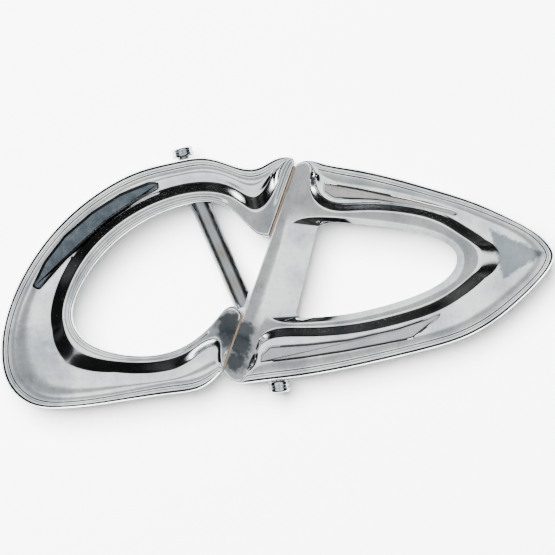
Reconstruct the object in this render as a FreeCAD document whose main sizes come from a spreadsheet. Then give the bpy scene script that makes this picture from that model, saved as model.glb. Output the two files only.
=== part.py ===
"""Snap shackle: a hook half and an eye half that swivel on one slanted seam, with a sprung gate bar.

Frame: millimetres. The shackle lies flat, its back on Z = 0 and its front towards +Z. +X runs from
the hook's nose to the eye's nose. The seam is a plane square to XY, and SEAM_FOOT is its lower end.
"""
import FreeCAD, Part
import math
import os

document = FreeCAD.newDocument("snap_shackle")

# ---------------------------------------------------------------- driving dimensions
sheet = document.addObject("Spreadsheet::Sheet", "Sizes")
DIMENSIONS = {
    "mid_height": 5.0,            # joint plane of the front and back castings above the rest plane
    "web_half": 3.2,              # casting: mid-plane to the face of the web and rim
    "panel_half": 3.9,            # casting: mid-plane to the face of the raised panels
    "ridge_half": 5.0,            # casting: mid-plane to the ridges and seam bosses
    "seam_lean": 19.33,           # degrees, the seam's lean from +Y towards +X
    "seam_gap": 0.4,              # hook casting's seam face to the seam plane, filled by the shims
    "shim_thick": 0.35,
    "shim_margin": 0.4,           # shim edge inside the boss edge
    "gate_lean": 66.46,           # degrees, the gate bar's line below +X
    "gate_radius": 2.0,
    "gate_reach": 27.4,           # pivot to the free end
    "gate_swing": 17.0,           # degrees that the gate opens inwards
    "gate_bevel": 0.6,            # gate to the seam plane
    "hub_radius": 3.2,
    "hub_half": 1.2,
    "slot_half": 2.15,            # half height of the gate's slot in the castings
    "slot_side": 0.2,             # clearance beside the gate in its slot
    "slot_start": 0.5,            # pivot to the near end of the gate's and tail's rooms
    "slot_end": 9.0,              # pivot to past the bow's edge
    "lobe_slot_radius": 27.85,    # pivot to the floor of the slot in the lobe's tip
    "lobe_slot_depth": 6.0,
    "lobe_slot_before": 9.0,      # degrees of the slot on the closed side of the gate
    "lobe_slot_after": 17.0,      # degrees of the slot on the open side
    "pivot_radius": 1.0,
    "pivot_half": 2.4,
    "running_gap": 0.05,          # radial clearance of every turning or sliding fit
    "washer_inner": 2.1,
    "washer_outer": 3.1,
    "washer_gap": 0.05,           # end play of the gate's hub between its washers
    "neck_half": 1.9,             # half width of the flat neck from the hub to the round bar
    "bar_start": 3.5,
    "tail_angle": 104.5,          # degrees, the gate's tail above +X
    "tail_radius": 1.2,
    "tail_start": 2.3,            # pivot to the root of the round tail, inside the hub
    "tail_side": 0.15,            # clearance beside the tail in its window
    "tail_above": 0.2,            # clearance above the tail in its window
    "tail_room_end": 7.0,         # pivot to past the casting's outer edge
    "knob_foot": 4.9,             # pivot to the underside of the thumb knob
    "knob_tall": 1.9,
    "knob_radius": 2.15,
    "knob_round": 0.5,
    "tenon_radius": 0.8,
    "tenon_length": 1.6,
    "knob_bore_start": 1.0,       # the tenon's bore starts this far below a knob, to break through its face
    "bolt_along": 7.57,           # swivel axis: distance up the seam from its foot
    "bolt_radius": 2.0,
    "bolt_head_radius": 2.7,
    "bolt_head_back": 3.3,
    "bolt_head_front": 1.8,
    "bolt_head_gap": 0.15,        # clearance round the bolt's head
    "bolt_back_gap": 0.1,         # clearance behind it
    "bolt_washer_thick": 0.3,
    "groove_radius": 1.3,
    "groove_start": 8.0,
    "groove_end": 10.4,
    "bolt_end": 11.4,
    "bush_radius": 2.6,
    "bush_start": 0.3,
    "bush_end": 7.2,
    "bolt_room_radius": 2.15,
    "bolt_room_end": 11.8,
    "lock_angle": -83.28,         # degrees, the plunger's pull direction
    "lock_cross": 8.18,           # plunger's axis meets the bolt's axis this far past the seam
    "lock_radius": 0.8,
    "lock_tip": 2.4,              # bolt axis to the centre of the plunger's round tip
    "lock_shaft_end": 8.0,
    "lock_collar_radius": 1.4,
    "lock_collar_start": 3.22,
    "lock_collar_end": 3.7,
    "lock_room_radius": 1.5,
    "lock_room_start": 3.2,
    "sleeve_start": 4.9,
    "sleeve_end": 5.75,
    "sleeve_radius": 1.8,
    "lock_knob_foot": 6.1,
    "lock_knob_tall": 2.4,
    "lock_knob_radius": 2.2,
    "dowel_radius": 0.8,
    "dowel_half": 2.4,
    "key_radius": 0.6,
    "key_half": 3.6,
    "gate_wire": 0.2,             # radius of the torsion spring's wire
    "gate_coil": 1.6,             # radius of its coil
    "lock_wire": 0.16,
    "lock_coil": 1.2,
    "coil_gap": 0.02,             # wire to the face that a spring stands on
    "coil_pitch_gap": 0.08,       # between turns of the torsion spring
    "through": 12.0,              # a cut this long passes through any piece that it meets
}
for row, (alias, value) in enumerate(DIMENSIONS.items(), start=1):
    sheet.set("A%d" % row, alias.replace("_", " "))
    sheet.set("B%d" % row, str(value))
    sheet.setAlias("B%d" % row, alias)
document.recompute()


def size(alias):
    """The value of one driving dimension."""
    return float(getattr(sheet, alias))


# ---------------------------------------------------------------- places and directions in the XY plane
def turned(degrees):
    """Unit direction in XY at an angle above +X."""
    angle = math.radians(degrees)
    return FreeCAD.Vector(math.cos(angle), math.sin(angle), 0)


def point(xy):
    return FreeCAD.Vector(xy[0], xy[1], 0)


SEAM_FOOT = point((-10.76, -18.99))
SEAM_UP = turned(90 - size("seam_lean"))
SEAM_OUT = turned(-size("seam_lean"))
GATE_PIVOT = point((-17.5, 19.35))
GATE_DOWN = turned(-size("gate_lean"))
TAIL_UP = turned(size("tail_angle"))
LOCK_PULL = turned(size("lock_angle"))
BOLT_FOOT = SEAM_FOOT + SEAM_UP * size("bolt_along")
LOCK_FOOT = BOLT_FOOT + SEAM_OUT * size("lock_cross")

# Boss ends, as distances up the seam from its foot, in order: the lower boss, then the upper one.
LOWER_BOSS = (0.45, 12.2)
UPPER_BOSS = (28.65, 43.9)


def on_seam(along, across):
    """A point near the seam: distance up it from its foot, then distance towards the eye half."""
    return SEAM_FOOT + SEAM_UP * along + SEAM_OUT * across


# ---------------------------------------------------------------- outlines, in the order they are walked
HOOK_OUTER = [
    (3.15, 23.6), (1.6, 24.05), (-1.1, 23.45), (-3.9, 22.0), (-6.4, 21.8), (-9.6, 22.7),
    (-14.5, 23.95), (-20.5, 23.2), (-27.5, 21.4), (-36.5, 16.6), (-44.6, 9.4), (-50.7, 0.7),
    (-54.3, -8.2), (-55.15, -15.5), (-53.6, -21.6), (-49.2, -25.4), (-43.0, -26.1),
    (-29.6, -24.45), (-20.4, -23.15), (-15.6, -22.2), (-12.6, -20.25),
]
HOOK_BOW = [
    (-8.6, -5.8), (-10.0, -5.95), (-11.5, -7.4), (-14.2, -10.4), (-18.0, -13.3), (-23.0, -15.2),
    (-28.5, -15.55), (-34.0, -14.6), (-39.2, -11.7), (-40.9, -7.8), (-40.2, -4.0), (-36.9, 2.0),
    (-31.6, 7.7), (-25.2, 11.95), (-18.6, 14.45), (-12.96, 14.95), (-8.9, 13.2), (-5.2, 9.57),
    (-3.8, 8.5),
]
HOOK_RIDGE_EDGE = [
    (-11.5, -16.8), (-11.6, -14.0), (-12.9, -12.4), (-16.0, -14.6), (-21.4, -17.9), (-28.4, -18.7),
    (-35.6, -17.6), (-41.6, -14.2), (-43.9, -8.2), (-43.0, -2.6), (-39.3, 4.0), (-33.6, 10.1),
    (-26.4, 14.8), (-19.0, 17.3), (-12.0, 17.2), (-7.7, 15.5), (-4.1, 13.9), (-1.9, 15.4),
    (-0.2, 19.1), (0.7, 22.0),
]
HOOK_PANEL = [
    (-49.0, -1.9), (-46.6, 3.2), (-42.6, 8.4), (-37.0, 13.2), (-31.4, 16.8), (-25.6, 19.1),
    (-23.2, 18.9), (-23.4, 17.6), (-27.8, 15.2), (-33.3, 11.5), (-37.4, 7.8), (-41.9, 3.6),
]

EYE_OUTER = [
    (-9.6, -20.3), (-7.6, -21.1), (-4.9, -20.95), (2.9, -20.0), (19.5, -16.9), (30.0, -14.35),
    (36.4, -12.4), (42.6, -9.2), (47.9, -5.0), (52.3, -0.65), (54.7, 2.7), (55.15, 4.5),
    (54.4, 6.3), (51.7, 9.0), (46.4, 12.0), (39.0, 15.25), (32.0, 17.5), (15.4, 21.7),
    (9.2, 22.8), (6.4, 23.3), (5.0, 23.15),
]
EYE_HOLE = [
    (15.4, 10.7), (23.7, 9.8), (30.0, 8.3), (33.8, 6.6), (35.6, 4.4), (35.4, 2.2), (33.6, -0.2),
    (30.4, -2.3), (25.7, -4.25), (19.5, -6.1), (13.3, -7.35),
]
EYE_HOLE_CORNERS = [(3.9, -7.5), (7.9, 9.9)]
EYE_RIDGE_HOLE = [
    (15.4, 11.3), (23.7, 10.4), (30.3, 8.9), (34.3, 7.1), (36.3, 4.5), (36.0, 1.9), (34.0, -0.7),
    (30.6, -2.9), (25.9, -4.9), (19.6, -6.7), (13.3, -8.0),
]
EYE_RIDGE_HOLE_CORNERS = [(-0.9, -8.4), (-2.3, -5.2), (2.0, 9.3), (5.0, 11.5)]
EYE_RIDGE_EDGE = [
    (-7.0, -18.6), (-5.2, -14.6), (-2.6, -11.6), (3.0, -10.9), (13.8, -10.6), (21.6, -9.0),
    (28.4, -6.7), (34.6, -3.9), (38.6, -0.6), (40.1, 3.0), (38.6, 6.7), (33.6, 10.2),
    (25.4, 12.6), (16.2, 13.4), (9.6, 14.0), (7.0, 16.6), (6.5, 19.4), (6.6, 22.4),
]
EYE_UPPER_PANEL = [
    (9.4, 19.2), (35.8, 13.3), (35.6, 12.3), (27.8, 13.9), (19.5, 15.2), (11.0, 15.6), (9.1, 17.0),
]
EYE_LOWER_PANEL = [
    (-3.3, -17.4), (-3.4, -15.3), (-1.6, -13.6), (14.0, -12.4), (24.0, -10.1), (32.0, -7.4),
    (26.6, -12.3), (14.0, -14.6),
]

HOOK_DOWELS = [(-32.2, 13.0), (-48.3, -8.0), (-44.0, -20.5), (-25.0, -20.6), (-1.0, 14.6)]
EYE_DOWELS = [(4.6, 18.0), (24.0, 14.4), (46.0, 4.0), (20.0, -12.2)]


# ---------------------------------------------------------------- geometry and feature helpers
def curve(points):
    """A smooth open curve through the points."""
    spline = Part.BSplineCurve()
    spline.interpolate(Points=points)
    return spline


def closed_curve(points):
    """A smooth closed curve through the points."""
    spline = Part.BSplineCurve()
    spline.interpolate(Points=points, PeriodicFlag=True)
    return spline


def chain(*corners):
    """Straight lines through the corners."""
    return [Part.LineSegment(a, b) for a, b in zip(corners[:-1], corners[1:])]


def polygon(*corners):
    return chain(*corners, corners[0])


def circle(centre, radius):
    return Part.Circle(centre, FreeCAD.Vector(0, 0, 1), radius)


def new_body(name):
    """A body whose XY plane is the joint plane of the two castings."""
    body = document.addObject("PartDesign::Body", name)
    body.Label = name
    body.Placement.Base.z = size("mid_height")
    body.setExpression("Placement.Base.z", "Sizes.mid_height")
    return body


def new_sketch(body, name, geometry):
    """A sketch on the body's own XY plane."""
    sketch = body.newObject("Sketcher::SketchObject", body.Name + "_" + name)
    plane = [item for item in body.Origin.OriginFeatures if item.Role == "XY_Plane"][0]
    sketch.AttachmentSupport = [(plane, "")]
    sketch.MapMode = "FlatFace"
    for item in geometry:
        sketch.addGeometry(item, False)
    return sketch


def pad(body, name, geometry, length, side=1, both=False):
    """Material from the joint plane to a height that the sheet names."""
    feature = body.newObject("PartDesign::Pad", body.Name + "_" + name)
    feature.Profile = new_sketch(body, name + "_sketch", geometry)
    feature.Reversed = side < 0
    feature.Midplane = both
    feature.setExpression("Length", length)
    document.recompute()


def pocket(body, name, geometry, depth, side=1):
    """A hollow from the joint plane into the casting on one side of it."""
    before = body.Shape.Volume
    feature = body.newObject("PartDesign::Pocket", body.Name + "_" + name)
    feature.Profile = new_sketch(body, name + "_sketch", geometry)
    feature.Reversed = side > 0
    feature.setExpression("Length", depth)
    document.recompute()
    if body.Shape.Volume > before - 1e-3:
        raise RuntimeError("%s cuts nothing" % feature.Name)


def turned_profile(foot, direction, steps):
    """The half section of a turned piece, from its axis out.

    steps are (start, end, radius) along the axis, each starting where the last one ends.
    """
    side = FreeCAD.Vector(-direction.y, direction.x, 0)
    corners = [foot + direction * steps[0][0]]
    for start, end, radius in steps:
        corners.append(foot + direction * start + side * radius)
        corners.append(foot + direction * end + side * radius)
    corners.append(foot + direction * steps[-1][1])
    return polygon(*corners)


def revolve(body, name, kind, foot, direction, geometry):
    """A Revolution or a Groove of a half section about an axis in the joint plane."""
    before = body.Shape.Volume if kind == "Groove" else 0
    sketch = new_sketch(body, name + "_sketch", geometry)
    reach = Part.LineSegment(foot - direction * 5, foot + direction * 5)
    sketch.addGeometry(reach, True)
    feature = body.newObject("PartDesign::" + kind, body.Name + "_" + name)
    feature.Profile = sketch
    feature.ReferenceAxis = (sketch, ["Axis0"])
    feature.Angle = 360.0
    document.recompute()
    if kind == "Groove" and body.Shape.Volume > before - 1e-3:
        raise RuntimeError("%s cuts nothing" % feature.Name)


def swept_sector(pivot, first, last, inner, outer, half_width):
    """The flat room that a bar of half_width sweeps as it turns clockwise from first to last."""
    side_first = FreeCAD.Vector(-first.y, first.x, 0) * half_width
    side_last = FreeCAD.Vector(last.y, -last.x, 0) * half_width
    return polygon(
        pivot + side_first + first * inner,
        pivot + side_first + first * outer,
        pivot + side_last + last * outer,
        pivot + side_last + last * inner,
    )


def clockwise(direction, degrees):
    return FreeCAD.Rotation(FreeCAD.Vector(0, 0, 1), -degrees).multVec(direction)


# ---------------------------------------------------------------- hook half
def hook_outline():
    """The whole hook, with its bow open on the seam between the two bosses."""
    gap = -size("seam_gap")
    top = on_seam(UPPER_BOSS[1], gap)
    upper = on_seam(UPPER_BOSS[0], gap)
    lower = on_seam(LOWER_BOSS[1], gap)
    foot = on_seam(LOWER_BOSS[0], gap)
    return [
        curve([top] + [point(p) for p in HOOK_OUTER] + [foot]),
        Part.LineSegment(foot, lower),
        curve([lower] + [point(p) for p in HOOK_BOW] + [upper]),
        Part.LineSegment(upper, top),
    ]


def hook_ridge_outline():
    """The ridge round the bow, which widens into the flat bosses at the seam."""
    gap = -size("seam_gap")
    top = on_seam(UPPER_BOSS[1] - 0.9, gap)
    upper = on_seam(UPPER_BOSS[0], gap)
    lower = on_seam(LOWER_BOSS[1], gap)
    foot = on_seam(LOWER_BOSS[0] + 0.9, gap)
    return [
        Part.LineSegment(foot, lower),
        curve([lower] + [point(p) for p in HOOK_BOW] + [upper]),
        Part.LineSegment(upper, top),
        Part.LineSegment(top, point(HOOK_RIDGE_EDGE[-1])),
        curve([point(p) for p in reversed(HOOK_RIDGE_EDGE)]),
        Part.LineSegment(point(HOOK_RIDGE_EDGE[0]), foot),
    ]


def hook_shell(name, side):
    """One casting of the hook half. side is 1 for the front and -1 for the back."""
    body = new_body(name)
    pad(body, "web", hook_outline(), "Sizes.web_half", side)
    pad(body, "ridge", hook_ridge_outline(), "Sizes.ridge_half", side)
    pad(body, "panel", [closed_curve([point(p) for p in HOOK_PANEL])], "Sizes.panel_half", side)

    # Gate: hub pocket, slot through the arc, window for the tail, and slot in the lobe's tip.
    swing = size("gate_swing")
    beside = size("gate_radius") + size("slot_side")
    pocket(body, "hub_room", [circle(GATE_PIVOT, size("hub_radius") + size("slot_side"))],
           "Sizes.slot_half", side)
    gate_open = clockwise(GATE_DOWN, swing)
    pocket(body, "gate_slot", swept_sector(
        GATE_PIVOT, GATE_DOWN, gate_open, size("slot_start"), size("slot_end"), beside),
        "Sizes.slot_half", side)
    tail_open = clockwise(TAIL_UP, swing)
    tail_beside = size("tail_radius") + size("tail_side")
    pocket(body, "tail_window", swept_sector(
        GATE_PIVOT, TAIL_UP, tail_open, size("slot_start"), size("tail_room_end"), tail_beside),
        "Sizes.tail_radius + Sizes.tail_above", side)
    reach = size("lobe_slot_radius")
    near = reach - size("lobe_slot_depth")
    before = size("lobe_slot_before")
    after = size("lobe_slot_after")
    start = clockwise(GATE_DOWN, -before)
    middle = clockwise(GATE_DOWN, (after - before) / 2)
    end = clockwise(GATE_DOWN, after)
    lobe_slot = [
        Part.Arc(GATE_PIVOT + start * reach, GATE_PIVOT + middle * reach, GATE_PIVOT + end * reach),
        Part.LineSegment(GATE_PIVOT + end * reach, GATE_PIVOT + end * near),
        Part.LineSegment(GATE_PIVOT + end * near, GATE_PIVOT + start * near),
        Part.LineSegment(GATE_PIVOT + start * near, GATE_PIVOT + start * reach),
    ]
    pocket(body, "lobe_slot", lobe_slot, "Sizes.slot_half", side)
    pocket(body, "pivot_hole", [circle(GATE_PIVOT, size("pivot_radius"))], "Sizes.pivot_half", side)

    # Swivel: room for the bolt's head, its washer and its shank, and for the cross pin of the head.
    head_room = size("bolt_head_radius") + size("bolt_head_gap")
    shank_room = size("bolt_radius") + size("running_gap")
    head_back = size("bolt_head_back") + size("bolt_back_gap")
    washer_front = size("bolt_head_front") - size("bolt_washer_thick")
    steps = [(-head_back, -washer_front, head_room), (-washer_front, size("through"), shank_room)]
    revolve(body, "bolt_room", "Groove", BOLT_FOOT, SEAM_OUT,
            turned_profile(BOLT_FOOT, SEAM_OUT, steps))
    pocket(body, "key_hole", [circle(key_place(), size("key_radius"))], "Sizes.key_half", side)
    for number, place in enumerate(HOOK_DOWELS, start=1):
        pocket(body, "dowel_hole_%d" % number, [circle(point(place), size("dowel_radius"))],
               "Sizes.dowel_half", side)


def key_place():
    """The cross pin passes through the middle of the bolt's head."""
    middle = (size("bolt_head_back") + size("bolt_head_front")) / 2
    return BOLT_FOOT - SEAM_OUT * middle


def dowel_group(name, places, radius, half):
    """Plain dowels across the joint plane, one solid each, as one node."""
    dowels = []
    for number, place in enumerate(places, start=1):
        dowel = document.addObject("Part::Cylinder", "%s_%d" % (name, number))
        dowel.setExpression("Radius", radius)
        dowel.setExpression("Height", "2 * " + half)
        dowel.Placement.Base = point(place)
        dowel.setExpression("Placement.Base.z", "Sizes.mid_height - " + half)
        dowels.append(dowel)
    group = document.addObject("Part::Compound", name)
    group.Label = name
    group.Links = dowels


def seam_shim(name, boss, bolt_hole):
    """A thin bronze plate on a hook boss, a little inside the boss's edges."""
    body = new_body(name)
    margin = size("shim_margin")
    face = -size("seam_gap")
    outer = face + size("shim_thick")
    outline = polygon(
        on_seam(boss[0] + margin, face),
        on_seam(boss[1] - margin, face),
        on_seam(boss[1] - margin, outer),
        on_seam(boss[0] + margin, outer),
    )
    pad(body, "plate", outline, "2 * (Sizes.ridge_half - Sizes.shim_margin)", both=True)
    if bolt_hole:
        through = size("through")
        steps = [(-through, through, size("bolt_radius") + size("running_gap"))]
        revolve(body, "bolt_hole", "Groove", BOLT_FOOT, SEAM_OUT,
                turned_profile(BOLT_FOOT, SEAM_OUT, steps))


def turned_piece(name, foot, direction, outside, bore=None, key=None):
    """A turned piece along an axis in the joint plane, with an optional bore along it."""
    body = new_body(name)
    revolve(body, "turned", "Revolution", foot, direction, turned_profile(foot, direction, outside))
    if bore:
        revolve(body, "bore", "Groove", foot, direction, turned_profile(foot, direction, bore))
    if key:
        centre, radius = key
        sketch = new_sketch(body, "key_sketch", [circle(centre, radius)])
        feature = body.newObject("PartDesign::Pocket", name + "_key")
        feature.Profile = sketch
        feature.Type = "ThroughAll"
        feature.Midplane = True
        document.recompute()


hook_shell("hook_front_shell", 1)
hook_shell("hook_back_shell", -1)
dowel_group("hook_dowels", HOOK_DOWELS, "Sizes.dowel_radius", "Sizes.dowel_half")
seam_shim("seam_shim_lower", LOWER_BOSS, True)
seam_shim("seam_shim_upper", UPPER_BOSS, False)

# The swivel bolt: head, shank, waist where the plunger's tip rides, and end collar.
turned_piece(
    "swivel_bolt", BOLT_FOOT, SEAM_OUT,
    [
        (-size("bolt_head_back"), -size("bolt_head_front"), size("bolt_head_radius")),
        (-size("bolt_head_front"), size("groove_start"), size("bolt_radius")),
        (size("groove_start"), size("groove_end"), size("groove_radius")),
        (size("groove_end"), size("bolt_end"), size("bolt_radius")),
    ],
    key=(key_place(), size("key_radius")),
)
turned_piece(
    "bolt_washer", BOLT_FOOT, SEAM_OUT,
    [(-size("bolt_head_front"), -size("bolt_head_front") + size("bolt_washer_thick"),
      size("bolt_head_radius"))],
    bore=[(-size("through"), size("through"), size("bolt_radius") + size("running_gap"))],
)
key_centre = key_place()
dowel_group("bolt_key", [(key_centre.x, key_centre.y)], "Sizes.key_radius", "Sizes.key_half")


# ---------------------------------------------------------------- gate
def gate_bar():
    """A round bar on a flat hub, with a round tail and a tenon for the thumb knob."""
    body = new_body("gate_bar")
    pad(body, "hub", [circle(GATE_PIVOT, size("hub_radius"))], "2 * Sizes.hub_half", both=True)
    side = FreeCAD.Vector(-GATE_DOWN.y, GATE_DOWN.x, 0) * size("neck_half")
    neck_end = GATE_PIVOT + GATE_DOWN * (size("bar_start") + size("gate_radius"))
    neck = polygon(GATE_PIVOT + side, neck_end + side, neck_end - side, GATE_PIVOT - side)
    pad(body, "neck", neck, "2 * Sizes.hub_half", both=True)
    bar = [(size("bar_start"), size("gate_reach"), size("gate_radius"))]
    revolve(body, "bar", "Revolution", GATE_PIVOT, GATE_DOWN,
            turned_profile(GATE_PIVOT, GATE_DOWN, bar))
    tail = [
        (size("tail_start"), size("knob_foot"), size("tail_radius")),
        (size("knob_foot"), size("knob_foot") + size("tenon_length"), size("tenon_radius")),
    ]
    revolve(body, "tail", "Revolution", GATE_PIVOT, TAIL_UP,
            turned_profile(GATE_PIVOT, TAIL_UP, tail))
    bevel = -size("gate_bevel")
    past = size("through")
    seam_top = UPPER_BOSS[1]
    for name, geometry in (
        ("bevel", polygon(on_seam(0, bevel), on_seam(seam_top, bevel),
                          on_seam(seam_top, past), on_seam(0, past))),
        ("pivot_bore", [circle(GATE_PIVOT, size("pivot_radius") + size("running_gap"))]),
    ):
        feature = body.newObject("PartDesign::Pocket", "gate_bar_" + name)
        feature.Profile = new_sketch(body, name + "_sketch", geometry)
        feature.Type = "ThroughAll"
        feature.Midplane = True
        document.recompute()


def knob(name, foot_point, direction, foot, tall, radius, tenon):
    """A turned knob with rounded rims, blind bored for the tenon that carries it."""
    body = new_body(name)
    side = FreeCAD.Vector(-direction.y, direction.x, 0)
    soft = size("knob_round")
    slope = soft * (1 - math.sqrt(0.5))

    def at(along, out):
        return foot_point + direction * along + side * out

    top = foot + tall
    outline = [
        Part.LineSegment(at(foot, 0), at(foot, radius - soft)),
        Part.Arc(at(foot, radius - soft), at(foot + slope, radius - slope), at(foot + soft, radius)),
        Part.LineSegment(at(foot + soft, radius), at(top - soft, radius)),
        Part.Arc(at(top - soft, radius), at(top - slope, radius - slope), at(top, radius - soft)),
        Part.LineSegment(at(top, radius - soft), at(top, 0)),
        Part.LineSegment(at(top, 0), at(foot, 0)),
    ]
    revolve(body, "turned", "Revolution", foot_point, direction, outline)
    tenon_radius, tenon_end = tenon
    revolve(body, "bore", "Groove", foot_point, direction,
            turned_profile(foot_point, direction,
                          [(foot - size("knob_bore_start"), tenon_end, tenon_radius)]))


gate_bar()
knob("gate_knob", GATE_PIVOT, TAIL_UP, size("knob_foot"), size("knob_tall"), size("knob_radius"),
     (size("tenon_radius"), size("knob_foot") + size("tenon_length")))
dowel_group("gate_pivot_pin", [(GATE_PIVOT.x, GATE_PIVOT.y)], "Sizes.pivot_radius",
            "Sizes.pivot_half")


def gate_washers():
    """Two spacer washers that centre the hub in its pocket, outside the spring's coil."""
    thick = "(Sizes.slot_half - Sizes.hub_half - Sizes.washer_gap)"
    rings = []
    for number, side in enumerate((-1, 1), start=1):
        outer = document.addObject("Part::Cylinder", "gate_washer_outer_%d" % number)
        inner = document.addObject("Part::Cylinder", "gate_washer_inner_%d" % number)
        outer.setExpression("Radius", "Sizes.washer_outer")
        inner.setExpression("Radius", "Sizes.washer_inner")
        ring = document.addObject("Part::Cut", "gate_washer_%d" % number)
        for cylinder in (outer, inner):
            cylinder.setExpression("Height", thick)
            cylinder.Placement.Base = GATE_PIVOT
            start = "Sizes.mid_height + %d * Sizes.slot_half" % side
            if side > 0:
                start += " - " + thick
            cylinder.setExpression("Placement.Base.z", start)
        ring.Base = outer
        ring.Tool = inner
        rings.append(ring)
    group = document.addObject("Part::Compound", "gate_washers")
    group.Label = "gate_washers"
    group.Links = rings


gate_washers()


def spring_coil(pitch, height, radius, wire_radius):
    """A coil of round wire about +Z from the origin."""
    path = Part.makeHelix(pitch, height, radius)
    start = FreeCAD.Vector(radius, 0, 0)
    section = Part.Wire(Part.makeCircle(wire_radius, start, FreeCAD.Vector(0, 1, 0)))
    return Part.Wire(path).makePipeShell([section], True, True)


def gate_spring():
    """The torsion spring round the pivot pin, on the front of the hub."""
    wire = size("gate_wire")
    pitch = 2 * wire + size("coil_pitch_gap")
    coil = spring_coil(pitch, pitch, size("gate_coil"), wire)
    feature = document.addObject("Part::Feature", "gate_spring")
    feature.Label = "gate_spring"
    feature.Shape = coil
    base = size("mid_height") + size("hub_half") + wire + size("coil_gap")
    feature.Placement = FreeCAD.Placement(
        FreeCAD.Vector(GATE_PIVOT.x, GATE_PIVOT.y, base), FreeCAD.Rotation())


gate_spring()


# ---------------------------------------------------------------- eye half
def eye_outline():
    """The whole eye half, with its hole."""
    foot = on_seam(0.1, 0)
    top = on_seam(44.1, 0)
    lower, upper = [point(p) for p in EYE_HOLE_CORNERS]
    return [
        curve([foot] + [point(p) for p in EYE_OUTER] + [top]),
        Part.LineSegment(top, foot),
        curve([upper] + [point(p) for p in EYE_HOLE] + [lower]),
        Part.LineSegment(lower, upper),
    ]


def eye_ridge_outline():
    """The ridge round the hole and the slanted bar with its bosses at the seam."""
    foot = on_seam(0.6, 0)
    top = on_seam(43.6, 0)
    corners = [point(p) for p in EYE_RIDGE_HOLE_CORNERS]
    return [
        Part.LineSegment(top, foot),
        Part.LineSegment(foot, point(EYE_RIDGE_EDGE[0])),
        curve([point(p) for p in EYE_RIDGE_EDGE]),
        Part.LineSegment(point(EYE_RIDGE_EDGE[-1]), top),
        curve([corners[3]] + [point(p) for p in EYE_RIDGE_HOLE] + [corners[0]]),
    ] + chain(*corners)


def eye_shell(name, side):
    """One casting of the eye half. side is 1 for the front and -1 for the back."""
    body = new_body(name)
    pad(body, "web", eye_outline(), "Sizes.web_half", side)
    pad(body, "ridge", eye_ridge_outline(), "Sizes.ridge_half", side)
    pad(body, "upper_panel", polygon(*[point(p) for p in EYE_UPPER_PANEL]), "Sizes.panel_half", side)
    pad(body, "lower_panel", polygon(*[point(p) for p in EYE_LOWER_PANEL]), "Sizes.panel_half", side)

    # Swivel: seat for the bush, then room for the bolt's waist and end collar.
    steps = [
        (-size("bolt_radius"), size("bush_end"), size("bush_radius")),
        (size("bush_end"), size("bolt_room_end"), size("bolt_room_radius")),
    ]
    revolve(body, "bush_seat", "Groove", BOLT_FOOT, SEAM_OUT,
            turned_profile(BOLT_FOOT, SEAM_OUT, steps))
    # Plunger: narrow bore, room for the collar and spring, and seat for the sleeve.
    steps = [
        (size("groove_radius"), size("lock_room_start"), size("lock_radius") + size("running_gap")),
        (size("lock_room_start"), size("sleeve_start"), size("lock_room_radius")),
        (size("sleeve_start"), size("through"), size("sleeve_radius")),
    ]
    revolve(body, "lock_bore", "Groove", LOCK_FOOT, LOCK_PULL,
            turned_profile(LOCK_FOOT, LOCK_PULL, steps))
    for number, place in enumerate(EYE_DOWELS, start=1):
        pocket(body, "dowel_hole_%d" % number, [circle(point(place), size("dowel_radius"))],
               "Sizes.dowel_half", side)


eye_shell("eye_front_shell", 1)
eye_shell("eye_back_shell", -1)
dowel_group("eye_dowels", EYE_DOWELS, "Sizes.dowel_radius", "Sizes.dowel_half")
turned_piece(
    "swivel_bush", BOLT_FOOT, SEAM_OUT,
    [(size("bush_start"), size("bush_end"), size("bush_radius"))],
    bore=[(0, size("through"), size("bolt_radius") + size("running_gap"))],
)
turned_piece(
    "lock_sleeve", LOCK_FOOT, LOCK_PULL,
    [(size("sleeve_start"), size("sleeve_end"), size("sleeve_radius"))],
    bore=[(0, size("through"), size("lock_radius") + size("running_gap"))],
)


# ---------------------------------------------------------------- lock plunger
def lock_pin():
    """The plunger: a round tip, a shaft, and the collar that its spring pushes on."""
    body = new_body("lock_pin")
    side = FreeCAD.Vector(-LOCK_PULL.y, LOCK_PULL.x, 0)
    radius = size("lock_radius")
    tip = size("lock_tip")
    slope = radius * math.sqrt(0.5)

    def at(along, out):
        return LOCK_FOOT + LOCK_PULL * along + side * out

    collar_start = size("lock_collar_start")
    collar_end = size("lock_collar_end")
    collar_radius = size("lock_collar_radius")
    end = size("lock_shaft_end")
    outline = [Part.Arc(at(tip - radius, 0), at(tip - slope, slope), at(tip, radius))]
    outline += chain(
        at(tip, radius), at(collar_start, radius), at(collar_start, collar_radius),
        at(collar_end, collar_radius), at(collar_end, radius), at(end, radius), at(end, 0),
        at(tip - radius, 0),
    )
    revolve(body, "turned", "Revolution", LOCK_FOOT, LOCK_PULL, outline)


def lock_spring():
    """The compression spring between the plunger's collar and the sleeve."""
    wire = size("lock_wire")
    room = size("sleeve_start") - size("lock_collar_end") - 2 * (wire + size("coil_gap"))
    coil = spring_coil(room / 2, room, size("lock_coil"), wire)
    feature = document.addObject("Part::Feature", "lock_spring")
    feature.Label = "lock_spring"
    feature.Shape = coil
    start = LOCK_FOOT + LOCK_PULL * (size("lock_collar_end") + wire + size("coil_gap"))
    start.z = size("mid_height")
    feature.Placement = FreeCAD.Placement(
        start, FreeCAD.Rotation(FreeCAD.Vector(0, 0, 1), LOCK_PULL))


lock_pin()
lock_spring()
knob("lock_knob", LOCK_FOOT, LOCK_PULL, size("lock_knob_foot"), size("lock_knob_tall"),
     size("lock_knob_radius"), (size("lock_radius"), size("lock_shaft_end")))

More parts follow.
